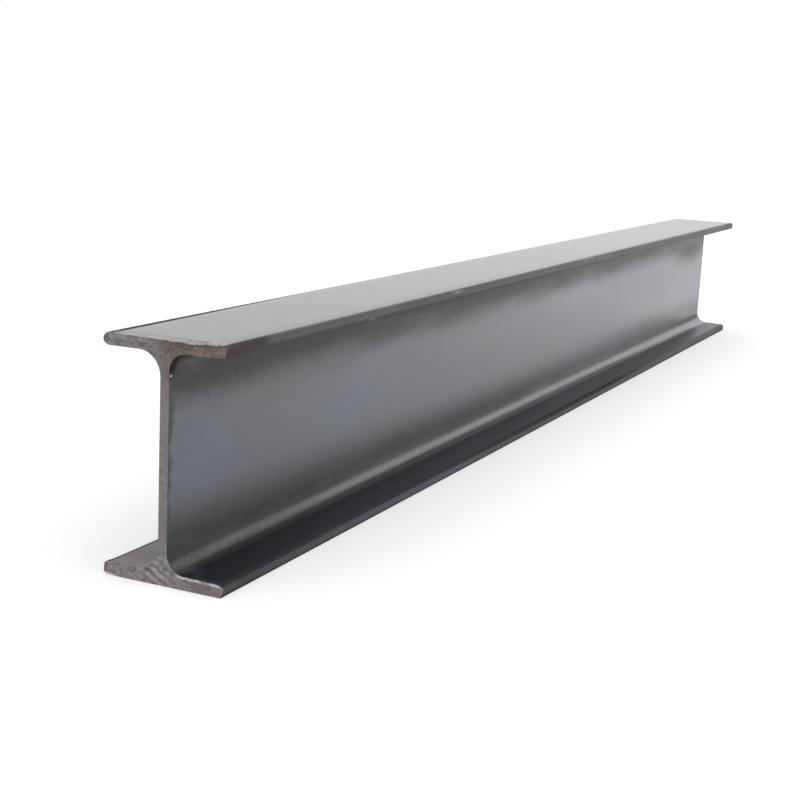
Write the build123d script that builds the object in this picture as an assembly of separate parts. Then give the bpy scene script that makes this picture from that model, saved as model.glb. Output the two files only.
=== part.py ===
"""Hot-rolled steel I-beam with parallel flanges: one sawn length of a small rolled section.

The beam runs along X and stands on its lower flange. The origin is at the middle of the
lower flange's underside, with +Z up. All sizes are in millimetres.
"""

import os

from build123d import *

# Driving dimensions of the rolled section
SECTION_DEPTH = 100.0
FLANGE_WIDTH = 55.0
FLANGE_THICKNESS = 5.7
WEB_THICKNESS = 4.1
ROOT_RADIUS = 7.0
TOE_RADIUS = 1.6

# Length between the two sawn ends
BEAM_LENGTH = 880.0

# Roundest toe that a flange can have, as a share of its thickness
FULL_TOE_SHARE = 0.48


def rolled_section() -> Sketch:
    """Draws the section across the beam: two parallel flanges with rounded toes and a filleted web.

    Returns:
        The section as one face, with its width along local X and its depth up local Y from 0.
    """
    toe_edge = FLANGE_WIDTH / 2
    web_face = WEB_THICKNESS / 2
    lower_flange_top = FLANGE_THICKNESS
    upper_flange_underside = SECTION_DEPTH - FLANGE_THICKNESS
    right_side = [
        (toe_edge, 0),
        (toe_edge, lower_flange_top),
        (web_face, lower_flange_top),
        (web_face, upper_flange_underside),
        (toe_edge, upper_flange_underside),
        (toe_edge, SECTION_DEPTH),
    ]
    left_side = [(-across, up) for across, up in reversed(right_side)]

    toe_radius = min(TOE_RADIUS, FULL_TOE_SHARE * FLANGE_THICKNESS)
    flange_radii = [toe_radius, toe_radius, ROOT_RADIUS]
    side_radii = flange_radii + flange_radii[::-1]
    outline = FilletPolyline(*right_side, *left_side, radius=side_radii * 2, close=True)
    return make_face(outline)


def i_beam() -> Part:
    """Runs the section out along X, half of the length each way.

    Returns:
        The beam as one solid with square sawn ends.
    """
    across_the_beam = Plane(origin=(0, 0, 0), x_dir=(0, 1, 0), z_dir=(1, 0, 0))
    beam = extrude(across_the_beam * rolled_section(), amount=BEAM_LENGTH / 2, both=True)
    beam.label = "i_beam"
    return beam


os.makedirs("parts", exist_ok=True)
export_step(i_beam(), "parts/i_beam.step")
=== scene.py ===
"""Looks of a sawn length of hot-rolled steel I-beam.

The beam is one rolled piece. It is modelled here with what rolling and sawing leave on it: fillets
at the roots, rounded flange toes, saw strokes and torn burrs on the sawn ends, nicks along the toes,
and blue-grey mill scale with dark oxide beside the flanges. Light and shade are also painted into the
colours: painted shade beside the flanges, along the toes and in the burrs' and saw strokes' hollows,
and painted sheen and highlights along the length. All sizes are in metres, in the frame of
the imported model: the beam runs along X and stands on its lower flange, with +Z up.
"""

from __future__ import annotations

import logging
import math
import random
from dataclasses import dataclass
from enum import Enum
from typing import Any, Callable, Iterable

import bmesh
import bpy
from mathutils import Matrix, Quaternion, Vector

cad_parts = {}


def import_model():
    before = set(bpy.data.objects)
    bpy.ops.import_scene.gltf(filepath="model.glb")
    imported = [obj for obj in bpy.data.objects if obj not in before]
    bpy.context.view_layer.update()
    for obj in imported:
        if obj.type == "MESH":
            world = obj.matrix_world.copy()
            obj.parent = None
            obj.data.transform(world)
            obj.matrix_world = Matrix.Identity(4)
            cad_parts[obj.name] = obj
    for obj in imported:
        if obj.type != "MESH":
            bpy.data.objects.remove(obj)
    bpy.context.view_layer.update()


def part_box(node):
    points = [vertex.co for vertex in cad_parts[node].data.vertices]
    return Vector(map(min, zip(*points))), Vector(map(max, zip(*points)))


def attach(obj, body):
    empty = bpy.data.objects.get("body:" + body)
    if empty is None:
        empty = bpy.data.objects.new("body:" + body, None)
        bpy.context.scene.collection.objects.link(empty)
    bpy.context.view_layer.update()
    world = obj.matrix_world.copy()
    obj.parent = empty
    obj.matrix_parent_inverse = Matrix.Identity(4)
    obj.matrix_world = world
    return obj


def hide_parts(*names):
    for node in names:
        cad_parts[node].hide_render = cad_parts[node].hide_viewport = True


LOG = logging.getLogger("rolled_beam")

MM = 0.001
NODE = "i_beam"
BODY = "root"

# Lengths that are closer than this are the same
SLACK = 0.01 * MM
# A face looks to a side when its normal's share along that side is over this
FACING = 0.9
# The bands of a wood texture are the sine of this many times the sum of its coordinates
WOOD_RATE = 10.0
WHITE = (1.0, 1.0, 1.0, 1.0)

Colour = tuple[float, float, float]
Size = tuple[float, float, float]
Spread = tuple[float, float]
Settings = dict[str, Any]
Inputs = dict[str | int, Any]
Socket = bpy.types.NodeSocket


class Pick(Enum):
    """The parts of a mesh that an edit-mode operator works on."""

    VERTS = "VERT"
    EDGES = "EDGE"
    FACES = "FACE"

    def parts(self, mesh: bmesh.types.BMesh) -> Iterable[Any]:
        """Give the mesh's vertices, edges or faces."""
        return {"VERT": mesh.verts, "EDGE": mesh.edges, "FACE": mesh.faces}[self.value]


class BeamEnd(Enum):
    """The two sawn ends, by the sign of their place along the beam."""

    NEAR = -1
    FAR = 1

    @property
    def group(self) -> str:
        """Give the name of the vertex group that holds this end's sawn face."""
        return f"sawn_{self.name.lower()}"


class Flange(Enum):
    """The two flanges, by the sign of the way that their outer face looks."""

    LOWER = -1
    UPPER = 1


class FlangeSide(Enum):
    """The two sides that the flanges reach to, by the sign of their place across the beam."""

    FRONT = -1
    BACK = 1


class Field:
    """A shader value that takes part in Python arithmetic, one Math node for each operation."""

    def __init__(self, tree: ShaderTree, socket: Socket) -> None:
        """Hold an output socket and the tree that it is in."""
        self.tree = tree
        self.socket = socket

    def __add__(self, other: Field | float) -> Field:
        """Add a value."""
        return self.tree.math("ADD", self, other)

    __radd__ = __add__

    def __sub__(self, other: Field | float) -> Field:
        """Take a value away."""
        return self.tree.math("SUBTRACT", self, other)

    def __rsub__(self, other: Field | float) -> Field:
        """Take this value away from another."""
        return self.tree.math("SUBTRACT", other, self)

    def __mul__(self, other: Field | float) -> Field:
        """Multiply by a value."""
        return self.tree.math("MULTIPLY", self, other)

    __rmul__ = __mul__

    def __truediv__(self, other: Field | float) -> Field:
        """Divide by a value."""
        return self.tree.math("DIVIDE", self, other)

    def __abs__(self) -> Field:
        """Drop the sign."""
        return self.tree.math("ABSOLUTE", self)

    def either(self, other: Field | float) -> Field:
        """Give the larger of two values."""
        return self.tree.math("MAXIMUM", self, other)

    def ease(self, start: Field | float, stop: Field | float) -> Field:
        """Rise smoothly from 0 at start to 1 at stop, which may be the lower of the two."""
        inputs = {"Value": self, "From Min": start, "From Max": stop}
        return self.tree.value("ShaderNodeMapRange", {"interpolation_type": "SMOOTHSTEP"}, inputs)

    def band(self, start: float, full: float, fading: float, gone: float) -> Field:
        """Rise from 0 to 1 between the first two values, and fall back to 0 between the last two."""
        return self.ease(start, full) * self.ease(gone, fading)


class ShaderTree:
    """The node tree of one material or of the world."""

    def __init__(self, owner: bpy.types.Material | bpy.types.World) -> None:
        """Start an empty node tree on a material or a world."""
        owner.use_nodes = True
        self.tree = owner.node_tree
        self.tree.nodes.clear()

    def node(self, kind: str, settings: Settings, inputs: Inputs) -> bpy.types.Node:
        """Add one node.

        Args:
            kind: The node's type.
            settings: Its properties, which are set first.
            inputs: A value, a Field or a socket for each named or numbered input.

        Returns:
            The new node.
        """
        made = self.tree.nodes.new(kind)
        for name, value in settings.items():
            setattr(made, name, value)
        for key, value in inputs.items():
            source = value.socket if isinstance(value, Field) else value
            if isinstance(source, Socket):
                self.tree.links.new(source, made.inputs[key])
            else:
                made.inputs[key].default_value = source
        return made

    def value(self, kind: str, settings: Settings, inputs: Inputs) -> Field:
        """Add one node and give its first output as a Field."""
        return Field(self, self.node(kind, settings, inputs).outputs[0])

    def math(self, operation: str, *operands: Field | float) -> Field:
        """Add a Math node for an operation on one or two values."""
        return self.value("ShaderNodeMath", {"operation": operation}, dict(enumerate(operands)))

    def vector(self, operation: str, *operands: Any) -> bpy.types.Node:
        """Add a Vector Math node for an operation on one or two vectors."""
        return self.node("ShaderNodeVectorMath", {"operation": operation}, dict(enumerate(operands)))

    def place(self) -> Socket:
        """Give the point's place on the piece, in metres."""
        return self.node("ShaderNodeTexCoord", {}, {}).outputs["Object"]

    def axes(self) -> tuple[Field, Field, Field]:
        """Give the point's place along X, Y and Z."""
        split = self.node("ShaderNodeSeparateXYZ", {}, {0: self.place()})
        x, y, z = (Field(self, output) for output in split.outputs)
        return x, y, z

    def noise(self, size: Size, detail: float = 3.0, turn: float = 0.0, shift: float = 0.0) -> Field:
        """Add a noise that is centred on 0.

        Args:
            size: How large its blotches are along X, Y and Z.
            detail: How many finer layers it has.
            turn: Angle by which it is turned about X.
            shift: Where in the noise it starts, so that two noises differ.

        Returns:
            The noise, mostly from -0.3 to 0.3.
        """
        spacing = {
            "Vector": self.place(),
            "Location": (shift, shift, shift),
            "Rotation": (turn, 0.0, 0.0),
            "Scale": size,
        }
        mapped = self.node("ShaderNodeMapping", {"vector_type": "TEXTURE"}, spacing)
        inputs = {"Vector": mapped.outputs[0], "Scale": 1.0, "Detail": detail}
        return self.value("ShaderNodeTexNoise", {"noise_dimensions": "3D"}, inputs) - 0.5

    def blend(self, factor: Field | float, first: Any, second: Any, way: str = "MIX") -> Socket:
        """Mix two colours.

        Args:
            factor: How much of the second colour there is.
            first: A colour or a socket.
            second: A colour or a socket.
            way: The Mix node's blend type.

        Returns:
            The mixed colour's socket.
        """
        colours = [(*c, 1.0) if isinstance(c, tuple) else c for c in (first, second)]
        settings = {"data_type": "RGBA", "blend_type": way}
        return self.node("ShaderNodeMix", settings, {0: factor, 6: colours[0], 7: colours[1]}).outputs[2]

    def grey(self, tone: Field) -> Socket:
        """Turn a tone into a grey colour."""
        return self.node("ShaderNodeCombineXYZ", {}, {0: tone, 1: tone, 2: tone}).outputs[0]

    def bump(self, height: Field, distance: float, strength: float) -> Socket:
        """Turn a height into a bumped normal."""
        inputs = {"Height": height, "Distance": distance, "Strength": strength}
        return self.node("ShaderNodeBump", {}, inputs).outputs["Normal"]

    def show(self, shader: bpy.types.Node, output: str = "ShaderNodeOutputMaterial") -> None:
        """Send a shader to the tree's output."""
        self.node(output, {}, {"Surface": shader.outputs[0]})

    def seen_rays(self) -> Field:
        """Tell the rays that show the studio itself: from the camera, in gloss and through glass.

        Returns:
            1 for such rays, and 0 for the rest.
        """
        rays = self.node("ShaderNodeLightPath", {}, {}).outputs
        names = ("Is Camera Ray", "Is Glossy Ray", "Is Transmission Ray")
        camera, gloss, glass = (Field(self, rays[name]) for name in names)
        return camera.either(gloss).either(glass)


@dataclass(frozen=True)
class SurfaceSpot:
    """A small soft-edged place on the beam, drawn out along the beam where along is below 1."""

    place: Size
    reach: float
    strength: float = 1.0
    along: float = 0.3

    def mask(self, tree: ShaderTree) -> Field:
        """Find the spot on a surface.

        Args:
            tree: The material's nodes.

        Returns:
            The spot's strength at its middle, falling to 0 at its reach.
        """
        offset = tree.vector("SUBTRACT", tree.place(), self.place)
        squeezed = tree.vector("MULTIPLY", offset.outputs["Vector"], (self.along, 1.0, 1.0))
        length = tree.vector("LENGTH", squeezed.outputs["Vector"])
        distance = Field(tree, length.outputs["Value"])
        return self.strength * distance.ease(self.reach, 0.0)


@dataclass(frozen=True)
class MillScale:
    """Blue-grey mill scale, with dark oxide on the toes and beside the flanges, painted shade there too,
    painted sheen and highlights, and a few bare nicks.
    """

    scale_colour: Colour = (0.137, 0.148, 0.173)
    worn_colour: Colour = (0.139, 0.141, 0.147)
    top_colour: Colour = (0.140, 0.138, 0.134)
    shelf_colour: Colour = (0.074, 0.081, 0.109)
    # Also the colour of the painted shade under the upper flange, over the lower root, low on the upper
    # toe and along the back toes
    oxide_and_shade_colour: Colour = (0.041, 0.038, 0.037)
    rust_colour: Colour = (0.085, 0.062, 0.050)
    # Also the colour of the painted shade along the front toes and under the upper flange
    soot_and_shade_colour: Colour = (0.012, 0.011, 0.011)
    film_colour: Colour = (0.200, 0.184, 0.176)
    # Painted shade on the lower flange's top
    shaded_colour: Colour = (0.056, 0.061, 0.078)
    # Also lightens the worn lip as painted light
    bare_and_lit_colour: Colour = (0.74, 0.73, 0.72)
    nicks: tuple[SurfaceSpot, ...] = (
        SurfaceSpot((-0.214, -0.0272, 0.0986), 0.9 * MM, 0.42, 0.10),
        SurfaceSpot((-0.314, -0.0273, 0.0955), 1.4 * MM, 0.25),
        SurfaceSpot((0.008, -0.0270, 0.0994), 1.1 * MM, 0.3, 0.07),
        SurfaceSpot((-0.4387, -0.0021, 0.0852), 0.8 * MM, 1.3, 0.8),
        SurfaceSpot((-0.4399, -0.0270, 0.0032), 2.6 * MM, 0.55, 1.2),
    )
    stain: SurfaceSpot = SurfaceSpot((0.390, -0.0021, 0.0790), 26.0 * MM, 0.72, 0.22)
    scorches: tuple[SurfaceSpot, ...] = (
        SurfaceSpot((-0.4395, -0.0045, 0.0900), 8.6 * MM, 1.6, 1.1),
        SurfaceSpot((-0.4370, -0.0105, 0.0068), 7.0 * MM, 1.0, 0.5),
    )
    rubbed: SurfaceSpot = SurfaceSpot((-0.4230, -0.0040, 0.0905), 12.0 * MM, 0.42, 0.5)
    # A painted highlight on the web
    glint: SurfaceSpot = SurfaceSpot((0.075, -0.0021, 0.0670), 15.0 * MM, 0.10, 0.11)
    char_stop: float = 38.0 * MM
    char_full: float = 26.0 * MM
    clean_roughness: float = 0.19
    bump_depth: float = 0.02 * MM
    bump_strength: float = 0.4
    reflection: float = 0.3

    def oxide(self, tree: ShaderTree, beam: RolledBeam) -> Field:
        """Find where dark oxide covers the scale, and where shade is painted in the same dark colour.

        Args:
            tree: The material's nodes.
            beam: The beam that wears the finish.

        Returns:
            How much oxide and painted shade there is, from 0 to 1.
        """
        x = tree.axes()[0]
        blotch = tree.noise((60 * MM, 9 * MM, 9 * MM), 4.0)
        speckle = tree.noise((2.4 * MM, 1.2 * MM, 1.2 * MM), 2.0)
        inset = beam.length / 2 - abs(x) + 10 * MM * blotch + 3 * MM * speckle
        web = self.web_oxide_and_shade(tree, beam, blotch, speckle)
        cover = web.either(self.rim_oxide(tree, inset)).either(self.stain.mask(tree))
        cover = cover * (1.0 - self.rubbed.mask(tree))
        cover = cover.either(self.toe_oxide_and_shade(tree, beam, inset)).either(self.back_edge_shade(tree, beam))
        return (cover * (1.0 + 0.5 * blotch + 0.5 * speckle)).ease(0.0, 1.0)

    @staticmethod
    def web_oxide_and_shade(tree: ShaderTree, beam: RolledBeam, blotch: Field, speckle: Field) -> Field:
        """Find the dark bands under the upper flange and over the lower root, partly oxide and partly
        painted shade, and the oxide in that root.

        Args:
            tree: The material's nodes.
            beam: The beam that wears the finish.
            blotch: A broad noise that makes its edges ragged.
            speckle: A fine noise that does the same.

        Returns:
            How much oxide and painted shade there is, from 0 to 1.
        """
        x, y, z = tree.axes()
        along = beam.along(x)
        drift = tree.noise((200 * MM, 40 * MM, 40 * MM), 2.0)
        ragged = 8 * MM * drift + 5.5 * MM * blotch + 2.6 * MM * speckle
        # Painted shade, partly oxide: the web darkens up towards the upper flange's underside
        upper = (z + ragged).ease(62 * MM, 89 * MM) * z.ease(95.5 * MM, 94.5 * MM)
        under_flange = upper * (0.86 - 0.13 * along)
        reach = 42 * MM + 6 * MM * along.ease(-0.35, -0.95)
        # Painted shade, partly oxide: the web darkens down towards the lower flange
        lower = (z + 0.6 * ragged).ease(reach, 11 * MM) * z.ease(8 * MM, 11 * MM)
        thinner = z.band(11 * MM, 15 * MM, 19 * MM, 24 * MM) * along.ease(-0.1, 0.25)
        over_root = lower * (0.60 - 0.06 * along + 0.17 * along * along - 0.13 * thinner)
        in_root = z.band(6 * MM, 7 * MM, 12 * MM, 14 * MM) * y.ease(0.0, -1.0 * MM)
        root = in_root * 0.34 * along.ease(-0.5, -1.0) * (1.0 + 3.0 * blotch + 1.5 * speckle)
        return under_flange.either(over_root).either(root)

    @staticmethod
    def rim_oxide(tree: ShaderTree, inset: Field) -> Field:
        """Find the oxide in a rim beside each sawn end, which is wider high up on the web.

        Args:
            tree: The material's nodes.
            inset: How far a point is from the nearer end, with ragged edges.

        Returns:
            How much oxide there is, from 0 to 1.
        """
        _, y, z = tree.axes()
        width = 4.5 * MM + 5 * MM * z.ease(60 * MM, 74 * MM)
        return 0.7 * inset.ease(width, 0.5 * MM) * y.ease(3 * MM, 2 * MM) * z.ease(99 * MM, 97 * MM)

    def toe_oxide_and_shade(self, tree: ShaderTree, beam: RolledBeam, inset: Field) -> Field:
        """Find the oxide on the front toes, darkest beside the ends, with painted shade low on the upper
        one.

        Args:
            tree: The material's nodes.
            beam: The beam that wears the finish.
            inset: How far a point is from the nearer end, with ragged edges.

        Returns:
            How much oxide and painted shade there is, from 0 to about 1.
        """
        x, _, z = tree.axes()
        along = beam.along(x)
        # Painted shade: the upper toe darkens towards its lower edge, which faces down
        upper = 0.12 - 0.12 * along.ease(-0.5, -0.75) + 0.26 * z.ease(97.4 * MM, 96.0 * MM)
        lower = 0.11 * z.ease(9 * MM, 7 * MM) * along.band(-0.95, -0.75, -0.5, -0.2)
        beside_end = 0.2 * inset.ease(self.char_stop, self.char_full)
        cover = 0.64 + upper * beam.upper_half(z) - lower + beside_end
        return cover * self.front_toe(tree, beam)

    @staticmethod
    def front_toe(tree: ShaderTree, beam: RolledBeam) -> Field:
        """Find the front toes, with their roundings, which fade more slowly to the far end.

        Args:
            tree: The material's nodes.
            beam: The beam that wears the finish.

        Returns:
            1 on the toes, and 0 beyond their roundings.
        """
        x, y, _ = tree.axes()
        fade = 2.4 * MM + 2.0 * MM * x.ease(-0.4 * beam.length, 0.3 * beam.length)
        return y.ease(fade - beam.width / 2, 0.4 * MM - beam.width / 2)

    @staticmethod
    def back_edge_shade(tree: ShaderTree, beam: RolledBeam) -> Field:
        """Find the back toes and a strip beside them, darkened as painted shade, widest on top at the near
        end.

        Args:
            tree: The material's nodes.
            beam: The beam that wears the finish.

        Returns:
            1 on the painted shade, and 0 beside it.
        """
        x, y, z = tree.axes()
        widening = x.ease(-0.25 * beam.length, -0.5 * beam.length) * beam.upper_half(z)
        # Painted shade: the back toes' roundings and a strip beside them are darkened
        start = beam.width / 2 - 2.8 * MM - 3.2 * MM * widening
        return y.ease(start, start + 1.2 * MM)

    def charred(self, tree: ShaderTree, beam: RolledBeam) -> Field:
        """Find the front upper toe beside the near end, where the scale is brown and burnt.

        Args:
            tree: The material's nodes.
            beam: The beam that wears the finish.

        Returns:
            1 where it is burnt, and 0 elsewhere.
        """
        x, _, z = tree.axes()
        ragged = 12 * MM * tree.noise((9 * MM, 4 * MM, 4 * MM), 3.0, shift=11.0)
        beside = (x + beam.length / 2 + ragged).ease(self.char_stop, self.char_full)
        return beside * beam.upper_half(z) * self.front_toe(tree, beam)

    def soot_and_shade(self, tree: ShaderTree, beam: RolledBeam) -> Field:
        """Find the blackest places: soot beside the cut in the front roots, and painted shade along the
        front toes and under the upper flange.

        Args:
            tree: The material's nodes.
            beam: The beam that wears the finish.

        Returns:
            How black it is, from 0 to 1.
        """
        x, _, z = tree.axes()
        # Painted shade on the lower front toe along its rounded upper edge, and a painted contact shadow
        # along its foot
        start = 3.2 * MM - 1.2 * MM * abs(x).ease(0.34 * beam.length, 0.05 * beam.length)
        upper_edge = z.ease(start, 4.8 * MM) * x.ease(0.3 * beam.length, 0.05 * beam.length)
        lower = upper_edge.either(z.ease(1.25 * MM, 0.7 * MM)) * z.ease(9 * MM, 7 * MM)
        fading = x.ease(0.25 * beam.length, -0.25 * beam.length)
        # Painted shade on the upper front toe's downward-facing lower edge, and under the upper flange
        # beside it
        upper = 0.5 * fading * z.band(91 * MM, 93 * MM, 95.6 * MM, 97.4 * MM)
        underside = 0.22 * fading * z.band(91.5 * MM, 93.5 * MM, 95.0 * MM, 95.6 * MM)
        edges = 0.75 * lower.either(upper) * self.front_toe(tree, beam)
        black = edges.either(underside).either(0.5 * self.charred(tree, beam))
        for scorch in self.scorches:
            black = black.either(scorch.mask(tree))
        return black.ease(0.0, 1.0)

    def bare(self, tree: ShaderTree, beam: RolledBeam, wear: Field) -> Field:
        """Find where bright steel shows: in the nicks, on the burrs and on the worn upper edge, where it
        is partly bare steel and partly painted light.

        Args:
            tree: The material's nodes.
            beam: The beam that wears the finish.
            wear: A noise that breaks the bare places up.

        Returns:
            How bare the steel is, from 0 to 1.
        """
        z = tree.axes()[2]
        tips = z.ease(beam.depth + 0.12 * MM, beam.depth + 0.4 * MM)
        for nick in self.nicks:
            tips = tips.either(nick.mask(tree))
        broken = (0.6 + wear).ease(0.1, 0.7)
        # Partly bare steel, partly painted light: the lip is lightened where its smooth shading would
        # darken it
        lip = (0.20 + 0.13 * broken) * beam.worn_lip(tree, 1.4 * MM * wear)
        return (tips * broken).either(lip)

    def clean(self, tree: ShaderTree, zones: SkinZones) -> Socket:
        """Mix the colours of the scale where no oxide covers it.

        Args:
            tree: The material's nodes.
            zones: The zones of the skin.

        Returns:
            The colour's socket.
        """
        along = zones.along
        worn = 0.5 + 1.6 * zones.drift - 0.2 * along.ease(-0.2, 0.6) + 0.6 * zones.root
        # Painted shade: the lower flange's top darkens away from the web towards the far end, a painted
        # dark reflection of the web
        shaded = along.ease(-0.4, 0.2) * zones.across.ease(-9 * MM, -14 * MM)
        shelf_colour = tree.blend(shaded, self.shelf_colour, self.shaded_colour)
        colour = tree.blend(worn.ease(0.1, 0.9), self.scale_colour, self.worn_colour)
        colour = tree.blend(zones.top, colour, self.top_colour)
        colour = tree.blend(zones.shelf, colour, shelf_colour)
        return tree.blend(zones.film, colour, self.film_colour)

    def tone(self, tree: ShaderTree, zones: SkinZones) -> Field:
        """Find how much lighter or darker than its colour the skin is: painted sheen and highlights
        towards the far end, painted shade at the near end, darker along the top's front edge near the near
        end, and random mottling.

        Args:
            tree: The material's nodes.
            zones: The zones of the skin.

        Returns:
            The tone that the colour is multiplied by, about 1.
        """
        along = zones.along
        y = zones.across
        z = zones.height
        # Painted sheen: lighter towards the far end and higher up the web, and on the top towards the far
        # end
        lit = 0.11 * (along + 0.3 * z.ease(45 * MM, 62 * MM)).ease(-0.45, 0.2) * (1.0 - zones.shelf)
        top_sheen = zones.top * (0.64 * along.ease(-0.5, 0.6) - 0.08)
        # Painted highlight in the lower front root, strongest low in it and towards the far end
        foot = z.ease(12.5 * MM, 8.0 * MM) + 0.6 * z.ease(8.5 * MM, 6.5 * MM)
        root_highlight = zones.root * foot * (0.05 + 0.47 * along.ease(-1.0, -0.2))
        # Painted shade at the near end; the top is also darker along its front edge there
        near_end = 0.05 * along.ease(-0.6, -0.95)
        strip = 0.16 * zones.top * y.ease(-15 * MM, -25 * MM) * along.ease(-0.95, -0.5)
        # Painted sheen on the lower flange's top near the far end
        far_shelf = zones.shelf * along.ease(0.5, 0.98) * (0.5 + 0.5 * y.ease(-17 * MM, -24 * MM))
        shine = lit + top_sheen + root_highlight + far_shelf + self.glint.mask(tree)
        mottling = 0.16 * zones.blotch * zones.mottle + 0.22 * zones.grain + 0.06 * zones.streak
        return 1.0 + shine - near_end - strip + mottling

    def make(self, beam: RolledBeam) -> bpy.types.Material:
        """Make the material.

        Args:
            beam: The beam that wears the finish.

        Returns:
            The material.
        """
        material = bpy.data.materials.new("mill_scale")
        tree = ShaderTree(material)
        zones = SkinZones(tree, beam)
        # The oxide mask also carries painted shade in the oxide's colour
        oxide = self.oxide(tree, beam)
        soot_and_shade = self.soot_and_shade(tree, beam)
        bare = self.bare(tree, beam, 2.5 * zones.grain + 1.5 * zones.blotch)

        rusted = 0.5 * (0.5 + 1.5 * zones.blotch).ease(0.45, 0.85)
        burnt = 0.5 * self.charred(tree, beam)
        dark = tree.blend(oxide * rusted.either(burnt), self.oxide_and_shade_colour, self.rust_colour)
        covered = tree.blend(oxide, self.clean(tree, zones), dark)
        skin = tree.blend(soot_and_shade, covered, self.soot_and_shade_colour)
        # The tone lays the painted sheen, highlights and shade over the skin
        toned = tree.blend(1.0, skin, tree.grey(self.tone(tree, zones)), "MULTIPLY")

        dull = oxide.either(zones.film).either(soot_and_shade)
        far_shelf = zones.shelf * zones.along.ease(0.4, 0.95)
        gloss_loss = 0.12 * zones.root.either(zones.shelf) + 0.09 * far_shelf
        back_shade_roughness = 0.45 * self.back_edge_shade(tree, beam)
        covers = 0.25 * oxide + 0.35 * zones.film + back_shade_roughness + 0.35 * soot_and_shade
        mottling = 0.10 * zones.blotch * zones.mottle + 0.08 * zones.grain
        height = (0.6 * zones.grain + 0.14 * zones.streak + 0.8 * zones.blotch) * (1.0 - 0.7 * zones.top)
        inputs = {
            "Base Color": tree.blend(bare, toned, self.bare_and_lit_colour),
            "Metallic": (1.0 - 0.85 * dull).either(bare),
            "Roughness": self.clean_roughness + gloss_loss + covers + mottling,
            "Normal": tree.bump(height, self.bump_depth, self.bump_strength),
            "Specular IOR Level": self.reflection,
        }
        tree.show(tree.node("ShaderNodeBsdfPrincipled", {}, inputs))
        return material


class SkinZones:
    """The zones of the rolled skin, each 1 inside it and 0 outside, and the noises that break it up."""

    def __init__(self, tree: ShaderTree, beam: RolledBeam) -> None:
        """Work out the zones and the noises.

        Args:
            tree: The material's nodes.
            beam: The beam that wears the finish.
        """
        x, y, z = tree.axes()
        self.along = beam.along(x)
        self.across = y
        self.height = z
        self.drift = tree.noise((90 * MM, 35 * MM, 35 * MM), 3.0, shift=3.0)
        self.blotch = tree.noise((14 * MM, 5 * MM, 5 * MM), 4.0, shift=5.0)
        self.grain = tree.noise((0.9 * MM, 0.7 * MM, 0.7 * MM), 3.0, shift=7.0)
        self.streak = tree.noise((120 * MM, 1.1 * MM, 1.1 * MM), 3.0, shift=9.0)
        self.top = z.ease(beam.depth - 1.0 * MM, beam.depth - 0.2 * MM)
        # The top is smoother than the rest, so it is mottled less
        self.mottle = 1.0 - 0.6 * self.top
        self.root = z.ease(14 * MM, 12 * MM) * y.band(-11 * MM, -9 * MM, -2 * MM, -1 * MM)
        self.shelf = z.ease(8.5 * MM, 6.5 * MM) * y.ease(-7.5 * MM, -11 * MM)
        self.film = y.ease(3 * MM, 5 * MM) * z.ease(16 * MM, 9 * MM) * (0.9 + 0.8 * self.blotch)


class SawnGrain:
    """The noises of a sawn end: scratches along the saw strokes, blotches, broad drifts and flecks."""

    def __init__(self, tree: ShaderTree, saw: SawCut) -> None:
        """Work out the noises, which are drawn out along the beam."""
        self.scratch = tree.noise((1.0, 9 * MM, 0.35 * MM), 3.0, turn=saw.angle)
        self.blotch = tree.noise((1.0, 2.6 * MM, 2.0 * MM), 4.0, shift=2.0)
        self.drift = tree.noise((1.0, 14 * MM, 14 * MM), 2.0, shift=4.0)
        self.fleck = tree.noise((1.0, 0.9 * MM, 0.9 * MM), 2.0, shift=6.0)


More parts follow.
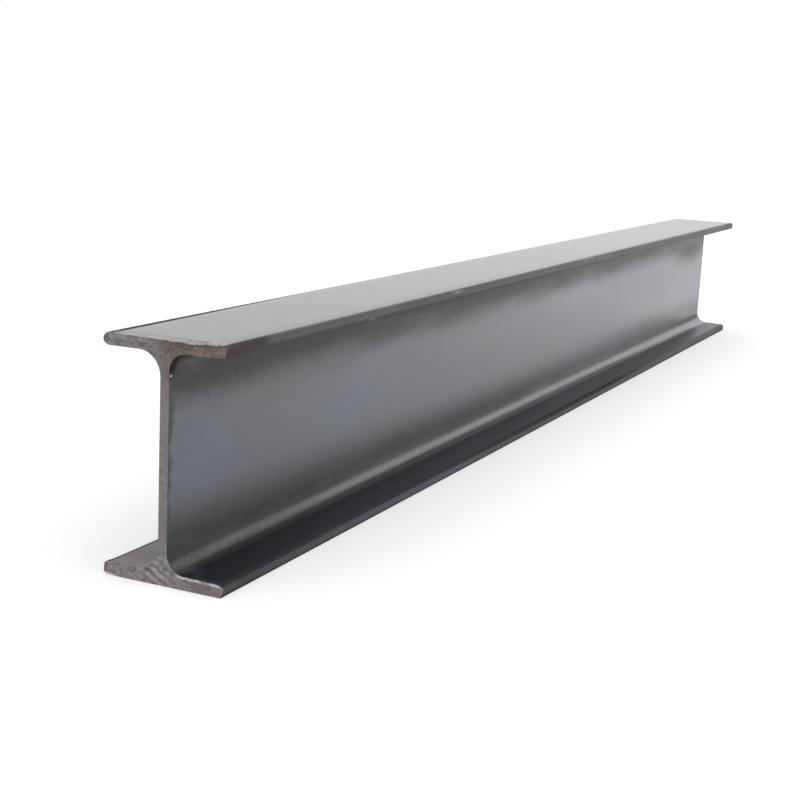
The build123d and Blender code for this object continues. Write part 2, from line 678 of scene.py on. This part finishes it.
@dataclass(frozen=True)
class SawnSteel:
    """Sawn steel that has gone dull and a little brown, with saw strokes over the lower root whose ridges
    carry painted highlights and grooves painted shade, and painted shadow along the burred upper edge.
    """

    dull_colour: Colour = (0.208, 0.192, 0.188)
    web_colour: Colour = (0.200, 0.194, 0.188)
    brown_colour: Colour = (0.150, 0.121, 0.112)
    stroke_highlight_colour: Colour = (0.640, 0.620, 0.615)
    groove_shade_colour: Colour = (0.085, 0.075, 0.072)
    # Also the colour of the painted shadow on the burr teeth along the upper edge
    torn_and_shade_colour: Colour = (0.060, 0.050, 0.047)
    bright_colour: Colour = (0.55, 0.54, 0.53)
    strokes: SurfaceSpot = SurfaceSpot((0.0, 0.004, 0.0045), 14.0 * MM, 1.3, 0.0)
    browned: SurfaceSpot = SurfaceSpot((0.0, -0.015, 0.0970), 28.0 * MM, 1.0, 0.0)
    ruddy: SurfaceSpot = SurfaceSpot((0.0, -0.019, 0.0030), 13.0 * MM, 0.45, 0.0)
    metal: float = 0.6
    mean_roughness: float = 0.55
    bump_depth: float = 0.08 * MM
    bump_strength: float = 0.5
    reflection: float = 0.3

    @staticmethod
    def front(y: Field) -> Field:
        """Give 1 in front of the web and its roots, and 0 behind."""
        return y.ease(-5 * MM, -9 * MM)

    def torn(self, tree: ShaderTree, beam: RolledBeam, grain: SawnGrain) -> Field:
        """Find the painted shadow of the burr teeth along the front of the upper edge, and the dark torn
        steel on the back toes.

        Args:
            tree: The material's nodes.
            beam: The beam that wears the finish.
            grain: The noises of the end.

        Returns:
            How dark it is painted, from 0 to 1.
        """
        y = tree.axes()[1]
        # Painted shadow on the sloping sides of the burr teeth along the front of the upper edge
        edge = beam.over_edge(tree).ease(-1.3 * MM, -0.2 * MM) * self.front(y)
        toes = 0.7 * y.ease(25.8 * MM, 27.3 * MM)
        return edge.either(toes) * (0.6 + 1.5 * grain.blotch + grain.fleck).ease(0.1, 0.8)

    def bright(self, tree: ShaderTree, beam: RolledBeam, grain: SawnGrain) -> Field:
        """Find the bright steel on the tips of the burrs and on the lower flange's front ridge.

        Args:
            tree: The material's nodes.
            beam: The beam that wears the finish.
            grain: The noises of the end.

        Returns:
            How bright the steel is, from 0 to 1.
        """
        _, y, z = tree.axes()
        slope = beam.front_lower_toe.thinning / (beam.width / 2)
        above = z + slope * abs(y) - beam.flange_thickness
        ridge = self.front(y) * above.band(-1.3 * MM, -0.4 * MM, 0.7 * MM, 1.5 * MM)
        rubbed = (0.8 + 1.5 * grain.blotch + grain.fleck).ease(0.2, 0.9)
        tips = beam.over_edge(tree).ease(0.0, 0.3 * MM) * (0.5 + 3.0 * grain.fleck).ease(0.25, 0.6)
        return tips.either(ridge * rubbed)

    def aged(self, tree: ShaderTree, grain: SawnGrain) -> Socket:
        """Mix the dull steel's greys with the brown of its first rust.

        Args:
            tree: The material's nodes.
            grain: The noises of the end.

        Returns:
            The colour's socket.
        """
        z = tree.axes()[2]
        tinted = self.browned.mask(tree).either(self.ruddy.mask(tree))
        brown = (0.25 + 1.2 * grain.drift + 1.6 * grain.blotch + tinted).ease(0.3, 1.0)
        web = z.band(8 * MM, 14 * MM, 35 * MM, 75 * MM)
        grey = tree.blend(web, self.dull_colour, self.web_colour)
        return tree.blend(brown, grey, self.brown_colour)

    def stroked(self, tree: ShaderTree, beam: RolledBeam, grain: SawnGrain) -> Socket:
        """Lay painted highlights on the ridges and painted shade in the grooves over the aged steel, where
        the saw strokes show.

        Args:
            tree: The material's nodes.
            beam: The beam that wears the finish.
            grain: The noises of the end.

        Returns:
            The colour's socket.
        """
        x = tree.axes()[0]
        groove = (beam.length / 2 - abs(x)) / beam.saw.depth
        marked = self.strokes.mask(tree) * (0.8 + 2.0 * grain.blotch + 2.0 * grain.drift).ease(0.2, 0.9)
        # Painted highlight on the ridges of the saw strokes
        pale = marked * (1.75 - groove + 1.2 * grain.scratch).ease(0.0, 1.2)
        # Painted shade in their grooves
        groove_shade = marked * (groove - 0.7 + grain.scratch).ease(0.2, 0.8)
        ridged = tree.blend(0.26 * pale, self.aged(tree, grain), self.stroke_highlight_colour)
        return tree.blend(0.18 * groove_shade, ridged, self.groove_shade_colour)

    @staticmethod
    def tone(tree: ShaderTree, beam: RolledBeam, grain: SawnGrain) -> Field:
        """Find how much lighter or darker than its colour the end is, roughest on the flanges.

        Args:
            tree: The material's nodes.
            beam: The beam that wears the finish.
            grain: The noises of the end.

        Returns:
            The tone that the colour is multiplied by, about 1.
        """
        _, y, z = tree.axes()
        rough = 0.55 + 0.62 * abs(z - beam.depth / 2).ease(34 * MM, 44 * MM)
        shift = 0.05 * y.ease(8 * MM, 16 * MM) - 0.06 * z.ease(88 * MM, 94 * MM)
        return 1.0 + shift + rough * (1.8 * grain.blotch + 0.7 * grain.fleck) + 0.2 * grain.scratch

    def make(self, beam: RolledBeam) -> bpy.types.Material:
        """Make the material.

        Args:
            beam: The beam that wears the finish.

        Returns:
            The material.
        """
        material = bpy.data.materials.new("sawn_steel")
        tree = ShaderTree(material)
        grain = SawnGrain(tree, beam.saw)
        tone = tree.grey(self.tone(tree, beam, grain))
        mottled = tree.blend(1.0, self.stroked(tree, beam, grain), tone, "MULTIPLY")
        darkened = tree.blend(0.75 * self.torn(tree, beam, grain), mottled, self.torn_and_shade_colour)
        inputs = {
            "Base Color": tree.blend(self.bright(tree, beam, grain), darkened, self.bright_colour),
            "Metallic": self.metal,
            "Roughness": self.mean_roughness + 0.25 * grain.blotch + 0.1 * grain.scratch,
            "Normal": tree.bump(0.3 * grain.scratch + grain.blotch, self.bump_depth, self.bump_strength),
            "Specular IOR Level": self.reflection,
        }
        tree.show(tree.node("ShaderNodeBsdfPrincipled", {}, inputs))
        return material


@dataclass(frozen=True)
class StudioPaper:
    """The pale floor of the studio, which shows white round the beam's soft shadow."""

    colour: Colour = (0.80, 0.80, 0.80)
    lift: float = 0.34

    def make(self) -> bpy.types.Material:
        """Make the material of the floor.

        Returns:
            The material.
        """
        material = bpy.data.materials.new("studio_paper")
        tree = ShaderTree(material)
        matte = tree.node("ShaderNodeBsdfDiffuse", {}, {"Color": (*self.colour, 1.0)})
        glow = tree.node("ShaderNodeEmission", {}, {"Strength": tree.seen_rays() * self.lift})
        tree.show(tree.node("ShaderNodeAddShader", {}, {0: matte.outputs[0], 1: glow.outputs[0]}))
        return material


class Bench:
    """A mesh object that is shaped in edit mode, with its parts picked by place or normal."""

    def __init__(self, piece: bpy.types.Object) -> None:
        """Take an object for shaping and open it in edit mode."""
        self.piece = piece
        bpy.ops.object.mode_set(mode="EDIT")

    def close(self) -> None:
        """Leave edit mode."""
        bpy.ops.object.mode_set(mode="OBJECT")

    def pick(self, kind: Pick, test: Callable[[Any], bool]) -> None:
        """Select only the parts that pass a test.

        Args:
            kind: Whether vertices, edges or faces are picked.
            test: Says whether a part is picked.
        """
        bpy.ops.mesh.select_mode(type=kind.value)
        bpy.ops.mesh.select_all(action="DESELECT")
        mesh = bmesh.from_edit_mesh(self.piece.data)
        picked = [part for part in kind.parts(mesh) if not part.hide and test(part)]
        for part in picked:
            part.select_set(True)
        mesh.select_flush_mode()
        bmesh.update_edit_mesh(self.piece.data)

    def cut(self, point: Vector, normal: Vector) -> None:
        """Cut all that isn't hidden along a plane."""
        bpy.ops.mesh.select_all(action="SELECT")
        bpy.ops.mesh.bisect(plane_co=point, plane_no=normal)

    def pull(self, place: Vector, offset: Vector, reach: float) -> None:
        """Pull the vertex nearest to a place, and its neighbours with it.

        Args:
            place: Where the pulled vertex is.
            offset: How far it goes.
            reach: How far from it the neighbours still follow.
        """
        mesh = bmesh.from_edit_mesh(self.piece.data)
        nearest = min(mesh.verts, key=lambda vert: (vert.co - place).length_squared)
        index = nearest.index
        self.pick(Pick.VERTS, lambda vert: vert.index == index)
        bpy.ops.transform.translate(
            value=offset,
            use_proportional_edit=True,
            proportional_edit_falloff="SMOOTH",
            proportional_size=reach,
        )

    def group(self, name: str) -> None:
        """Put the selected vertices in a new vertex group."""
        bpy.ops.object.vertex_group_add()
        self.piece.vertex_groups.active.name = name
        bpy.ops.object.vertex_group_assign()


@dataclass(frozen=True)
class SawCut:
    """How the saw left an end: parallel strokes that slant across it and wander a little."""

    pitch: float = 3.1 * MM
    depth: float = 0.08 * MM
    angle: float = math.radians(28.0)
    cell_across: float = 0.3 * MM
    cell_along: float = 0.75 * MM
    grid_shift: float = 0.37
    rim: float = 1.2 * MM
    cuts_behind: tuple[int, ...] = (3, 4)
    wander: float = 2.0
    wander_size: float = 1.2

    @property
    def along(self) -> Vector:
        """Give the direction of the strokes on the end."""
        return Vector((0.0, math.cos(self.angle), math.sin(self.angle)))

    @property
    def across(self) -> Vector:
        """Give the direction from one stroke to the next."""
        return Vector((0.0, -math.sin(self.angle), math.cos(self.angle)))


@dataclass(frozen=True)
class Burr:
    """A run of torn teeth on a flange's upper face at the near end, measured from the front toe.

    Each tooth draws its shares of the height, lift, reach and step from the spreads.
    """

    flange: Flange
    start: float
    stop: float
    height: float
    lift: float
    step: float
    reach: float
    height_spread: Spread = (0.35, 1.0)
    lift_spread: Spread = (0.3, 1.0)
    reach_spread: Spread = (0.7, 1.1)
    step_spread: Spread = (0.7, 1.3)


@dataclass(frozen=True)
class WornEdge:
    """A run of the near end's upper edge that the saw tore down, from its back to its front."""

    back: float
    front: float
    back_sink: float
    front_sink: float
    step: float = 2.8 * MM
    reach: float = 3.3 * MM
    fade: float = 1.5 * MM

    def sink(self, place: Field | float) -> Field | float:
        """Give how far the edge went down at a place across the beam, as a length or as a Field."""
        share = (place - self.back) / (self.front - self.back)
        return self.back_sink + (self.front_sink - self.back_sink) * share

    def places(self) -> list[float]:
        """Space the places where the edge is pressed down.

        Returns:
            Evenly spaced places along the run.
        """
        span = self.front - self.back
        count = round(abs(span) / self.step)
        return [self.back + span * (number + 0.5) / count for number in range(count)]

    def within(self, y: Field) -> Field:
        """Give 1 along the run, fading out at both ends."""
        fade = self.fade
        return y.band(self.front - fade, self.front + fade, self.back - fade, self.back + fade)


@dataclass(frozen=True)
class Dent:
    """A shallow knock or pull of the surface: its place, how far it goes and its reach."""

    place: Size
    push: Size
    reach: float = 5.0 * MM


@dataclass(frozen=True)
class Root:
    """Where one side of the web meets one flange, with the radius of the fillet there."""

    side: FlangeSide
    flange: Flange
    radius: float


@dataclass(frozen=True)
class Toe:
    """One flange tip, with the radii of both edges and how much thinner than the root it is."""

    side: FlangeSide
    flange: Flange
    outer_radius: float
    inner_radius: float
    thinning: float


@dataclass
class RolledBeam:
    """The beam: a rolled I-section with parallel flanges, sawn off at both ends."""

    lowest: Vector
    highest: Vector
    web_thickness: float = 4.1 * MM
    flange_thickness: float = 5.7 * MM
    roots: tuple[Root, ...] = (
        Root(FlangeSide.FRONT, Flange.UPPER, 7.0 * MM),
        Root(FlangeSide.FRONT, Flange.LOWER, 8.5 * MM),
        Root(FlangeSide.BACK, Flange.UPPER, 10.0 * MM),
        Root(FlangeSide.BACK, Flange.LOWER, 10.0 * MM),
    )
    toes: tuple[Toe, ...] = (
        Toe(FlangeSide.FRONT, Flange.UPPER, 1.9 * MM, 0.9 * MM, 0.6 * MM),
        Toe(FlangeSide.FRONT, Flange.LOWER, 0.4 * MM, 1.8 * MM, 0.6 * MM),
        Toe(FlangeSide.BACK, Flange.UPPER, 2.7 * MM, 2.7 * MM, 0.0),
        Toe(FlangeSide.BACK, Flange.LOWER, 1.0 * MM, 1.8 * MM, 0.0),
    )
    dents: tuple[Dent, ...] = (
        Dent((-0.214, -0.0275, 0.0986), (0.0, 0.35 * MM, -0.25 * MM)),
        Dent((0.010, -0.0275, 0.0988), (0.0, 0.30 * MM, -0.20 * MM)),
        Dent((-0.314, -0.0275, 0.0958), (0.0, 0.30 * MM, 0.10 * MM)),
        Dent((-0.120, -0.0275, 0.0046), (0.0, 0.30 * MM, -0.20 * MM)),
        Dent((0.165, 0.0275, 0.0985), (0.0, -0.35 * MM, -0.20 * MM)),
        Dent((-0.440, 0.0275, 0.0970), (-0.4 * MM, 1.2 * MM, -0.2 * MM), 5.5 * MM),
        Dent((-0.440, 0.0272, 0.0003), (-0.1 * MM, 0.5 * MM, 1.0 * MM), 8.0 * MM),
        Dent((-0.440, -0.0269, 0.0992), (-0.15 * MM, -0.65 * MM, 0.35 * MM), 2.4 * MM),
        Dent((-0.440, -0.0273, 0.0953), (0.0, 0.45 * MM, 0.15 * MM), 2.2 * MM),
    )
    worn_edges: tuple[WornEdge, ...] = (
        WornEdge(24.0 * MM, -10.5 * MM, 0.70 * MM, 1.00 * MM),
        WornEdge(-10.5 * MM, -26.0 * MM, 1.40 * MM, 0.45 * MM),
    )
    burrs: tuple[Burr, ...] = (
        Burr(Flange.UPPER, 1.8 * MM, 17.0 * MM, 1.30 * MM, 0.40 * MM, 2.2 * MM, 1.8 * MM),
        Burr(Flange.LOWER, 2.5 * MM, 17.0 * MM, 0.30 * MM, 0.20 * MM, 1.9 * MM, 1.5 * MM),
        Burr(Flange.UPPER, 22.0 * MM, 51.0 * MM, 0.50 * MM, 0.25 * MM, 3.6 * MM, 2.6 * MM),
    )
    lip_start: float = 2.4 * MM
    lip_stop: float = 5.2 * MM
    root_segments: int = 14
    toe_segments: int = 6
    length_step: float = 9.0 * MM
    section_step: float = 9.0 * MM
    wave_height: float = 0.08 * MM
    wave_length: float = 90.0 * MM
    tear_height: float = 0.10 * MM
    tear_size: float = 1.4 * MM
    merge_distance: float = 0.03 * MM
    flat_angle: float = math.radians(1.0)
    smooth_angle: float = math.radians(32.0)
    saw: SawCut = SawCut()
    name: str = "rolled_beam"
    seed: int = 7

    @property
    def length(self) -> float:
        """Give the length between the sawn ends."""
        return self.highest.x - self.lowest.x

    @property
    def width(self) -> float:
        """Give the width of the flanges."""
        return self.highest.y - self.lowest.y

    @property
    def depth(self) -> float:
        """Give the height over both flanges."""
        return self.highest.z - self.lowest.z

    @property
    def front_lower_toe(self) -> Toe:
        """Give the lower flange's front toe."""
        wanted = (FlangeSide.FRONT, Flange.LOWER)
        return next(toe for toe in self.toes if (toe.side, toe.flange) == wanted)

    def along(self, x: Field) -> Field:
        """Give a point's place along the beam, from -1 at the near end to 1 at the far end."""
        return x / (self.length / 2)

    def upper_half(self, z: Field) -> Field:
        """Give 1 over the middle of the web and 0 under it, with a soft step."""
        return z.ease(0.4 * self.depth, 0.6 * self.depth)

    def build(self) -> bpy.types.Object:
        """Model the beam and dress it.

        Returns:
            The finished piece.
        """
        bench = self.roll_section()
        self.round_section(bench)
        self.divide_section(bench)
        for end in BeamEnd:
            self.cut_saw_grid(bench, end)
        self.divide_length(bench)
        self.clean(bench)
        piece = bench.piece
        self.dress(bench)
        bench.close()
        self.wear(piece)
        self.tear_edges(piece)
        self.knock(piece)
        bpy.ops.object.shade_smooth_by_angle(angle=self.smooth_angle)
        return piece

    def roll_section(self) -> Bench:
        """Start from the web as a block, and pull the flanges out of its upper and lower edges.

        Returns:
            The bench with a plain I-shaped bar on it.
        """
        bpy.ops.object.select_all(action="DESELECT")
        middle = (self.lowest + self.highest) / 2
        block = (self.length, self.web_thickness, self.depth)
        bpy.ops.mesh.primitive_cube_add(size=1.0, location=middle, scale=block)
        bpy.ops.object.transform_apply(location=True, rotation=True, scale=True)
        piece = bpy.context.object
        piece.name = self.name
        piece.data.name = self.name
        bench = Bench(piece)
        for flange in Flange:
            bench.cut(Vector((0.0, 0.0, self.inner_level(flange))), Vector((0.0, 0.0, 1.0)))
        reach = (self.width - self.web_thickness) / 2
        for side in FlangeSide:
            bench.pick(Pick.FACES, lambda face: self.is_flange_side(face, side))
            offset = (0.0, side.value * reach, 0.0)
            bpy.ops.mesh.extrude_region_move(TRANSFORM_OT_translate={"value": offset})
        bpy.ops.mesh.select_all(action="SELECT")
        bpy.ops.mesh.dissolve_limited(angle_limit=self.flat_angle)
        return bench

    def outer_level(self, flange: Flange) -> float:
        """Give the height of a flange's outer face."""
        return self.highest.z if flange is Flange.UPPER else self.lowest.z

    def inner_level(self, flange: Flange) -> float:
        """Give the height of a flange's inner face, beside the web."""
        return self.outer_level(flange) - flange.value * self.flange_thickness

    def tip_level(self, toe: Toe) -> float:
        """Give the height of a flange's inner face at one of its tips."""
        return self.inner_level(toe.flange) + toe.flange.value * toe.thinning

    def is_flange_side(self, face: bmesh.types.BMFace, side: FlangeSide) -> bool:
        """Say whether a flange comes out of a face of the block on one side.

        Args:
            face: A face of the block.
            side: The side that the flange reaches to.

        Returns:
            Whether the face looks to that side, above or below the web.
        """
        height = face.calc_center_median().z
        in_web = self.inner_level(Flange.LOWER) < height < self.inner_level(Flange.UPPER)
        return face.normal.y * side.value > FACING and not in_web

    def round_section(self, bench: Bench) -> None:
        """Thin the flange tips a little, fillet the roots and round the toes.

        Args:
            bench: The bench with the plain bar on it.
        """
        for toe in self.toes:
            bench.pick(Pick.EDGES, lambda edge: self.is_toe(edge, toe.side, self.inner_level(toe.flange)))
            bpy.ops.transform.translate(value=(0.0, 0.0, toe.flange.value * toe.thinning))
        for root in self.roots:
            bench.pick(Pick.EDGES, lambda edge: self.is_root(edge, root))
            self.bevel(root.radius, self.root_segments)
        for toe in self.toes:
            edges = {self.outer_level(toe.flange): toe.outer_radius, self.tip_level(toe): toe.inner_radius}
            for level, radius in edges.items():
                bench.pick(Pick.EDGES, lambda edge: self.is_toe(edge, toe.side, level))
                self.bevel(radius, self.toe_segments)

    def is_long(self, edge: bmesh.types.BMEdge) -> bool:
        """Say whether an edge runs along the beam."""
        return abs(edge.verts[0].co.x - edge.verts[1].co.x) > self.length / 2

    def is_root(self, edge: bmesh.types.BMEdge, root: Root) -> bool:
        """Say whether an edge is where the web meets a flange.

        Args:
            edge: An edge of the plain bar.
            root: The root that is looked for.

        Returns:
            Whether the edge lies along that root.
        """
        place = edge.verts[0].co
        beside_web = near(place.y, root.side.value * self.web_thickness / 2)
        return self.is_long(edge) and beside_web and near(place.z, self.inner_level(root.flange))

    def is_toe(self, edge: bmesh.types.BMEdge, side: FlangeSide, level: float) -> bool:
        """Say whether an edge is on a flange's tip on that side, at that height."""
        place = edge.verts[0].co
        return self.is_long(edge) and near(place.y, side.value * self.width / 2) and near(place.z, level)

    @staticmethod
    def bevel(radius: float, segments: int) -> None:
        """Round the selected edges."""
        bpy.ops.mesh.bevel(offset=radius, offset_type="OFFSET", segments=segments, affect="EDGES")

    def divide_section(self, bench: Bench) -> None:
        """Divide the flats of the section into strips, and cut a narrow rim off each end.

        Args:
            bench: The bench with the rounded bar on it.
        """
        for axis, low, high in ((1, self.lowest.y, self.highest.y), (2, self.lowest.z, self.highest.z)):
            normal = Vector([float(number == axis) for number in range(3)])
            count = round((high - low) / self.section_step)
            for number in range(1, count):
                bench.cut(normal * (low + (high - low) * number / count), normal)
        for end in BeamEnd:
            place = end.value * (self.length / 2 - self.saw.rim)
            bench.cut(Vector((place, 0.0, 0.0)), Vector((1.0, 0.0, 0.0)))

    def divide_length(self, bench: Bench) -> None:
        """Divide the beam along its length, with more cuts a few rims behind each end.

        Args:
            bench: The bench with the sawn bar on it.
        """
        half = self.length / 2
        depths = [rims * self.saw.rim for rims in self.saw.cuts_behind]
        behind = [end.value * (half - depth) for end in BeamEnd for depth in depths]
        steps = round(self.length / self.length_step)
        places = [self.length * number / steps - half for number in range(1, steps)]
        for place in (*behind, *places):
            bench.cut(Vector((place, 0.0, 0.0)), Vector((1.0, 0.0, 0.0)))

    def cut_saw_grid(self, bench: Bench, end: BeamEnd) -> None:
        """Cut one sawn end and its rim into fine cells, along and across the saw strokes.

        Args:
            bench: The bench with the divided bar on it.
            end: Which end is cut.
        """
        start = self.length / 2 - self.saw.rim
        bench.pick(Pick.FACES, lambda face: face.calc_center_median().x * end.value > start)
        bpy.ops.mesh.hide(unselected=True)
        middle = (self.lowest + self.highest) / 2
        span = math.hypot(self.width, self.depth) / 2
        grid = ((self.saw.across, self.saw.cell_across), (self.saw.along, self.saw.cell_along))
        for normal, cell in grid:
            count = math.ceil(span / cell)
            for number in range(-count, count + 1):
                bench.cut(middle + normal * cell * (number + self.saw.grid_shift), normal)
        bpy.ops.mesh.reveal(select=False)

    def clean(self, bench: Bench) -> None:
        """Merge slivers, split many-sided faces and turn every face outwards.

        Args:
            bench: The bench with the cut bar on it.
        """
        bpy.ops.mesh.select_all(action="SELECT")
        bpy.ops.mesh.remove_doubles(threshold=self.merge_distance)
        bpy.ops.mesh.dissolve_degenerate(threshold=SLACK)
        bpy.ops.mesh.select_all(action="DESELECT")
        bpy.ops.mesh.select_mode(type="FACE")
        bpy.ops.mesh.select_face_by_sides(number=4, type="GREATER")
        bpy.ops.mesh.quads_convert_to_tris(quad_method="BEAUTY", ngon_method="BEAUTY")
        bpy.ops.mesh.select_all(action="SELECT")
        bpy.ops.mesh.normals_make_consistent(inside=False)

    def dress(self, bench: Bench) -> None:
        """Give the skin and the sawn ends their finishes, and group the vertices of each end.

        Args:
            bench: The bench with the cleaned bar on it.
        """
        for finish in (MillScale(), SawnSteel()):
            bench.piece.data.materials.append(finish.make(self))
        plane = self.length / 2 - SLACK
        bench.pick(Pick.FACES, lambda face: abs(face.calc_center_median().x) > plane)
        bench.piece.active_material_index = 1
        bpy.ops.object.material_slot_assign()
        for end in BeamEnd:
            bench.pick(Pick.VERTS, lambda vert: vert.co.x * end.value > plane)
            bench.group(end.group)

    def wear(self, piece: bpy.types.Object) -> None:
        """Press the saw strokes into the ends, roughen them, and let the rolled faces waver a little.

        Args:
            piece: The beam, out of edit mode.
        """
        strokes = bpy.data.textures.new("saw_strokes", "WOOD")
        strokes.wood_type = "BANDNOISE"
        strokes.noise_basis_2 = "SIN"
        strokes.noise_scale = self.saw.wander_size
        strokes.turbulence = self.saw.wander
        tears = bpy.data.textures.new("torn_grain", "CLOUDS")
        tears.noise_scale = self.tear_size
        waves = bpy.data.textures.new("rolling_waves", "CLOUDS")
        waves.noise_scale = self.wave_length
        guide = self.stroke_guide()
        for end in BeamEnd:
            self.displace(piece, strokes, end.value * self.saw.depth, end.group, guide)
            self.displace(piece, tears, end.value * self.tear_height, end.group)
        self.displace(piece, waves, self.wave_height)
        bpy.data.objects.remove(guide)

    def stroke_guide(self) -> bpy.types.Object:
        """Set up an empty whose diagonal runs from one saw stroke to the next, one pitch to a band.

        Returns:
            The empty, which is removed once the strokes are pressed in.
        """
        diagonal = Vector((1.0, 1.0, 1.0))
        band = 2 * math.pi / WOOD_RATE
        guide = bpy.data.objects.new("stroke_guide", None)
        bpy.context.scene.collection.objects.link(guide)
        guide.rotation_mode = "QUATERNION"
        guide.rotation_quaternion = diagonal.rotation_difference(self.saw.across)
        guide.scale = diagonal * (diagonal.length * self.saw.pitch / band)
        bpy.context.view_layer.update()
        return guide

    @staticmethod
    def displace(
        piece: bpy.types.Object,
        texture: bpy.types.Texture,
        strength: float,
        group: str = "",
        guide: bpy.types.Object | None = None,
    ) -> None:
        """Move a piece's surface by a texture, and apply it.

        Args:
            piece: The piece.
            texture: What moves it, inwards only where a group is named.
            strength: How far the texture's full range moves it.
            group: The vertex group that moves along X; with no name, all moves along the normals.
            guide: An empty that places the texture; with none, the piece's own axes do.
        """
        modifier = piece.modifiers.new(texture.name, "DISPLACE")
        modifier.texture = texture
        modifier.strength = strength
        modifier.vertex_group = group
        modifier.direction = "X" if group else "NORMAL"
        modifier.mid_level = 1.0 if group else 0.5
        if guide:
            modifier.texture_coords = "OBJECT"
            modifier.texture_coords_object = guide
        bpy.ops.object.modifier_apply(modifier=modifier.name)

    def burr_level(self, burr: Burr) -> float:
        """Give the height of the edge that a burr is on."""
        upper = burr.flange is Flange.UPPER
        return self.highest.z if upper else self.tip_level(self.front_lower_toe)

    def tear_edges(self, piece: bpy.types.Object) -> None:
        """Wear the near end's upper edge down, and pull torn teeth up along its burred edges.

        Args:
            piece: The beam, out of edit mode.
        """
        draw = random.Random(self.seed)
        bench = Bench(piece)
        for edge in self.worn_edges:
            for place in edge.places():
                down = Vector((0.0, 0.0, -edge.sink(place)))
                bench.pull(Vector((self.lowest.x, place, self.highest.z)), down, edge.reach)
        for burr in self.burrs:
            place = self.lowest.y + burr.start
            while place < self.lowest.y + burr.stop:
                height = burr.height * draw.uniform(*burr.height_spread)
                lift = burr.lift * draw.uniform(*burr.lift_spread)
                reach = burr.reach * draw.uniform(*burr.reach_spread)
                tooth = Vector((self.lowest.x, place, self.burr_level(burr)))
                bench.pull(tooth, Vector((-lift, 0.0, height)), reach)
                place += burr.step * draw.uniform(*burr.step_spread)
        bench.close()

    def worn_lip(self, tree: ShaderTree, ragged: Field) -> Field:
        """Find the upper face where it goes down to the near end's worn edge.

        Args:
            tree: The material's nodes.
            ragged: How much further or less far along the beam it starts.

        Returns:
            1 on that lip, fading to 0 beside it.
        """
        x, y, z = tree.axes()
        inset = x + ragged - self.lowest.x
        upper = z.ease(self.depth - 3 * MM, self.depth - 2 * MM)
        within = sum(edge.within(y) for edge in self.worn_edges)
        return within * upper * inset.ease(self.lip_stop, self.lip_start)

    def over_edge(self, tree: ShaderTree) -> Field:
        """Find how far a point of an end stands over its upper edge.

        Args:
            tree: The material's nodes.

        Returns:
            The height over the upper face, or over the worn edge at the near end.
        """
        x, y, z = tree.axes()
        near_end = x.ease(0.1 * self.length, -0.1 * self.length)
        over = z - self.depth
        for edge in self.worn_edges:
            over = over + edge.sink(y) * edge.within(y) * near_end
        return over

    def knock(self, piece: bpy.types.Object) -> None:
        """Press the dents into the flange toes.

        Args:
            piece: The beam, out of edit mode.
        """
        bench = Bench(piece)
        for dent in self.dents:
            bench.pull(Vector(dent.place), Vector(dent.push), dent.reach)
        bench.close()


def near(first: float, second: float) -> bool:
    """Say whether two lengths are the same."""
    return abs(first - second) < SLACK


@dataclass
class Studio:
    """A white studio: a pale floor, soft light from all round and above, and the camera."""

    floor_level: float
    floor_size: float = 12.0
    backdrop_strength: float = 1.0
    ambient_strength: float = 0.72
    sky_strength: float = 0.95
    sky_spread: float = math.radians(110.0)
    sky_tilt: Size = (math.radians(18.0), math.radians(-22.0), 0.0)
    camera_place: Size = (-0.8941, -0.3075, 0.1914)
    camera_heading: float = math.radians(65.46)
    camera_dip: float = math.radians(11.62)
    camera_roll: float = math.radians(2.79)
    lens: float = 64.305
    sensor: float = 36.0
    nearest_view: float = 0.01

    def build(self) -> None:
        """Set up the floor, the light and the camera."""
        self.lay_floor()
        self.light()
        self.aim_camera()
        bpy.context.scene.view_settings.view_transform = "Standard"

    def lay_floor(self) -> None:
        """Lay the floor that the beam stands on."""
        bpy.ops.object.select_all(action="DESELECT")
        bpy.ops.mesh.primitive_plane_add(size=self.floor_size, location=(0.0, 0.0, self.floor_level))
        floor = bpy.context.object
        floor.name = "studio_floor"
        floor.data.materials.append(StudioPaper().make())

    def light(self) -> None:
        """Make the white surround, and a broad soft light that comes from above."""
        world = bpy.data.worlds.new("white_surround")
        bpy.context.scene.world = world
        tree = ShaderTree(world)
        strengths = (self.ambient_strength, self.backdrop_strength)
        ambient, backdrop = (
            tree.node("ShaderNodeBackground", {}, {"Color": WHITE, "Strength": strength})
            for strength in strengths
        )
        inputs = {0: tree.seen_rays(), 1: ambient.outputs[0], 2: backdrop.outputs[0]}
        tree.show(tree.node("ShaderNodeMixShader", {}, inputs), "ShaderNodeOutputWorld")
        bpy.ops.object.light_add(type="SUN", rotation=self.sky_tilt)
        sky = bpy.context.object
        sky.name = "soft_sky"
        sky.data.angle = self.sky_spread
        sky.data.energy = self.sky_strength

    def aim_camera(self) -> None:
        """Put the camera at the photograph's viewpoint."""
        flat = math.cos(self.camera_dip)
        ahead = Vector((
            flat * math.sin(self.camera_heading),
            flat * math.cos(self.camera_heading),
            -math.sin(self.camera_dip),
        ))
        level = ahead.to_track_quat("-Z", "Y")
        bpy.ops.object.camera_add(location=self.camera_place)
        camera = bpy.context.object
        camera.rotation_mode = "QUATERNION"
        camera.rotation_quaternion = level @ Quaternion((0.0, 0.0, 1.0), self.camera_roll)
        camera.data.sensor_width = self.sensor
        camera.data.lens = self.lens
        camera.data.clip_start = self.nearest_view
        bpy.context.scene.camera = camera


def main() -> None:
    """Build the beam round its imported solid, and the studio round the beam."""
    logging.basicConfig(level=logging.INFO, format="%(name)s: %(message)s")
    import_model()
    lowest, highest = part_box(NODE)
    beam = RolledBeam(lowest, highest)
    piece = beam.build()
    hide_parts(NODE)
    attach(piece, BODY)
    LOG.info("%s stands for %s: %d faces", piece.name, NODE, len(piece.data.polygons))
    Studio(lowest.z).build()


if __name__ == "__main__":
    main()
